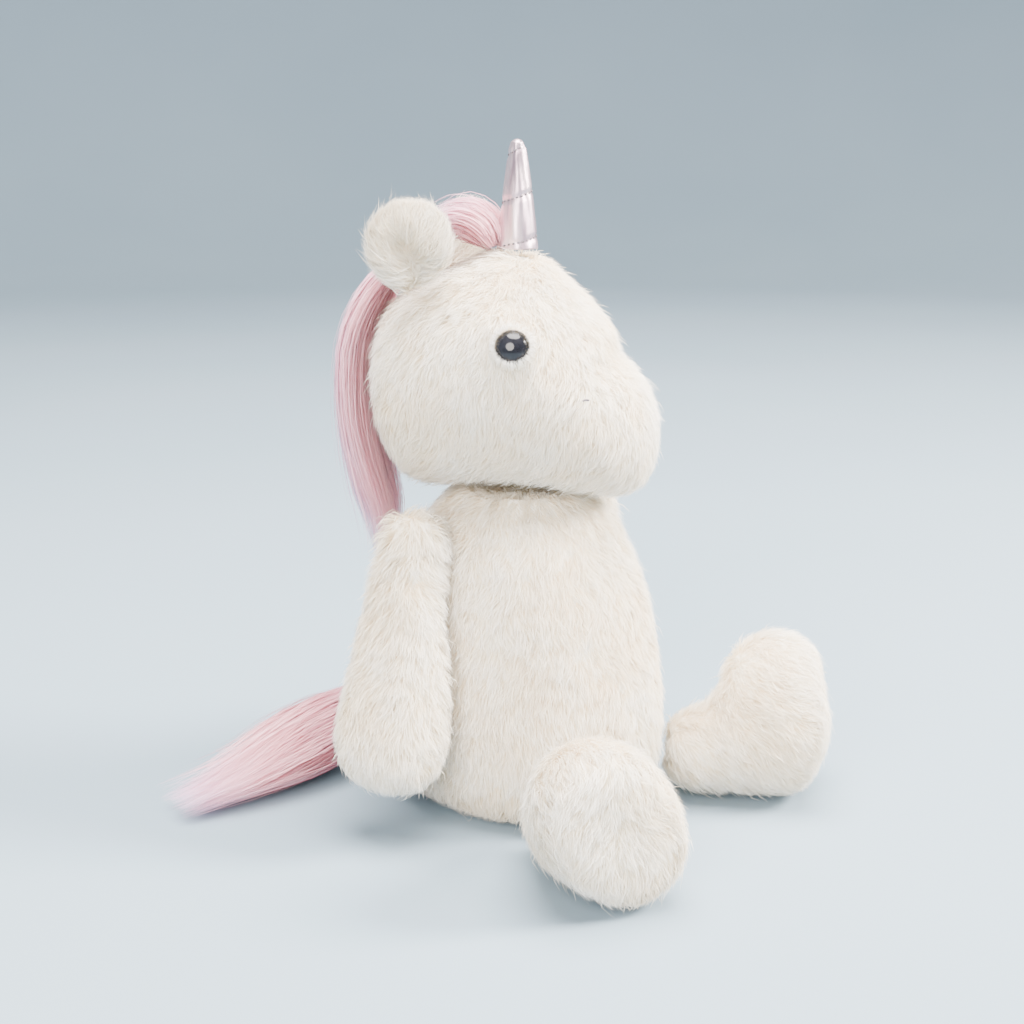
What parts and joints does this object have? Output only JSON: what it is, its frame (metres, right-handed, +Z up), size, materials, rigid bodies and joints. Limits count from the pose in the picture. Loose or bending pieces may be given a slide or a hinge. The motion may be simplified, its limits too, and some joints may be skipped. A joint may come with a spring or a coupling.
{
  "type": "plush toy unicorn",
  "caption": "Sitting soft plush unicorn with a turning head, hanging arms, forward legs, upright ears, a short cloth horn, a long mane and a tail on the floor.",
  "frame": {"origin": "centre of the flat seat that the toy sits on", "axes": "+Z up, the body faces -Y, the animal's left is +X; the head is turned 27 degrees to its left"},
  "size_m": [0.1757, 0.182, 0.2306],
  "materials": {
    "white_plush": "long shaggy pile in short clumps",
    "mane_yarn": "long combed silky pile, pink with lavender edges",
    "foil_cloth": "soft metallic satin foil on cloth",
    "black_eye": "high gloss",
    "washer": "moulded",
    "stuffing": "loose fibre",
    "bag_cotton": "plain weave",
    "thread": "twisted thread",
    "label": "woven tape, blank"
  },
  "bodies": {
    "torso": {"torso_front_left": "white_plush", "torso_front_right": "white_plush", "torso_back_left": "white_plush", "torso_back_right": "white_plush", "seat_panel": "white_plush", "torso_stuffing": "stuffing", "pellet_bag": "bag_cotton", "closing_seam_thread": "thread", "blank_label": "label"},
    "neck": {"neck_stuffing": "stuffing"},
    "head": {"head_side_left": "white_plush", "head_side_right": "white_plush", "head_gusset": "white_plush", "head_back_panel": "white_plush", "muzzle_panel": "white_plush", "head_stuffing": "stuffing", "eye_left": "black_eye", "eye_right": "black_eye", "eye_washer_left": "washer", "eye_washer_right": "washer", "nostril_stitch_left": "thread", "nostril_stitch_right": "thread", "horn_cover": "foil_cloth", "horn_stuffing": "stuffing", "horn_thread_low": "thread", "horn_thread_middle": "thread", "horn_thread_top": "thread", "forelock": "mane_yarn", "mane": "mane_yarn"},
    "ear_left": {"ear_front_left": "white_plush", "ear_back_left": "white_plush"},
    "ear_right": {"ear_front_right": "white_plush", "ear_back_right": "white_plush"},
    "arm_left": {"arm_outer_left": "white_plush", "arm_inner_left": "white_plush", "arm_stuffing_left": "stuffing"},
    "arm_right": {"arm_outer_right": "white_plush", "arm_inner_right": "white_plush", "arm_stuffing_right": "stuffing"},
    "leg_left": {"leg_upper_left": "white_plush", "leg_lower_left": "white_plush", "sole_left": "white_plush", "leg_stuffing_left": "stuffing"},
    "leg_right": {"leg_upper_right": "white_plush", "leg_lower_right": "white_plush", "sole_right": "white_plush", "leg_stuffing_right": "stuffing"},
    "tail": {"tail_tab": "white_plush", "tail_lock": "mane_yarn"}
  },
  "joints": [
    {"name": "neck_turn", "type": "hinge", "parent": "torso", "child": "neck", "pos_m": [0, 0, 0.08], "axis": [0, 0, 1], "range_deg": [-55, 15]},
    {"name": "head_nod", "type": "hinge", "parent": "neck", "child": "head", "pos_m": [0, 0, 0.08], "axis": [0.891, 0.454, 0], "range_deg": [-10, 12], "stiffness_Nm_per_rad": 1.5},
    {"name": "ear_left_fold", "type": "hinge", "parent": "head", "child": "ear_left", "pos_m": [0.00959, 0.03889, 0.1817], "axis": [-0.174, 0.966, -0.1913], "range_deg": [-6, 45], "stiffness_Nm_per_rad": 0.03},
    {"name": "ear_right_fold", "type": "hinge", "parent": "head", "child": "ear_right", "pos_m": [-0.0371, 0.0151, 0.1817], "axis": [0.7267, -0.6844, 0.0594], "range_deg": [-6, 45], "stiffness_Nm_per_rad": 0.03},
    {"name": "arm_left_raise", "type": "hinge", "parent": "torso", "child": "arm_left", "pos_m": [0.0447, 0.008, 0.1025], "axis": [0, -1, 0], "range_deg": [0, 75]},
    {"name": "arm_right_raise", "type": "hinge", "parent": "torso", "child": "arm_right", "pos_m": [-0.0447, 0.008, 0.1025], "axis": [0, 1, 0], "range_deg": [0, 75]},
    {"name": "leg_left_swing", "type": "hinge", "parent": "torso", "child": "leg_left", "pos_m": [0.03762, -0.05178, 0.0175], "axis": [0, 0, 1], "range_deg": [-25, 25]},
    {"name": "leg_right_swing", "type": "hinge", "parent": "torso", "child": "leg_right", "pos_m": [-0.03762, -0.05178, 0.0175], "axis": [0, 0, -1], "range_deg": [-25, 25]},
    {"name": "tail_swing", "type": "hinge", "parent": "torso", "child": "tail", "pos_m": [-0.004, 0.065, 0.026], "axis": [0, 0, -1], "range_deg": [-15, 150]}
  ]
}
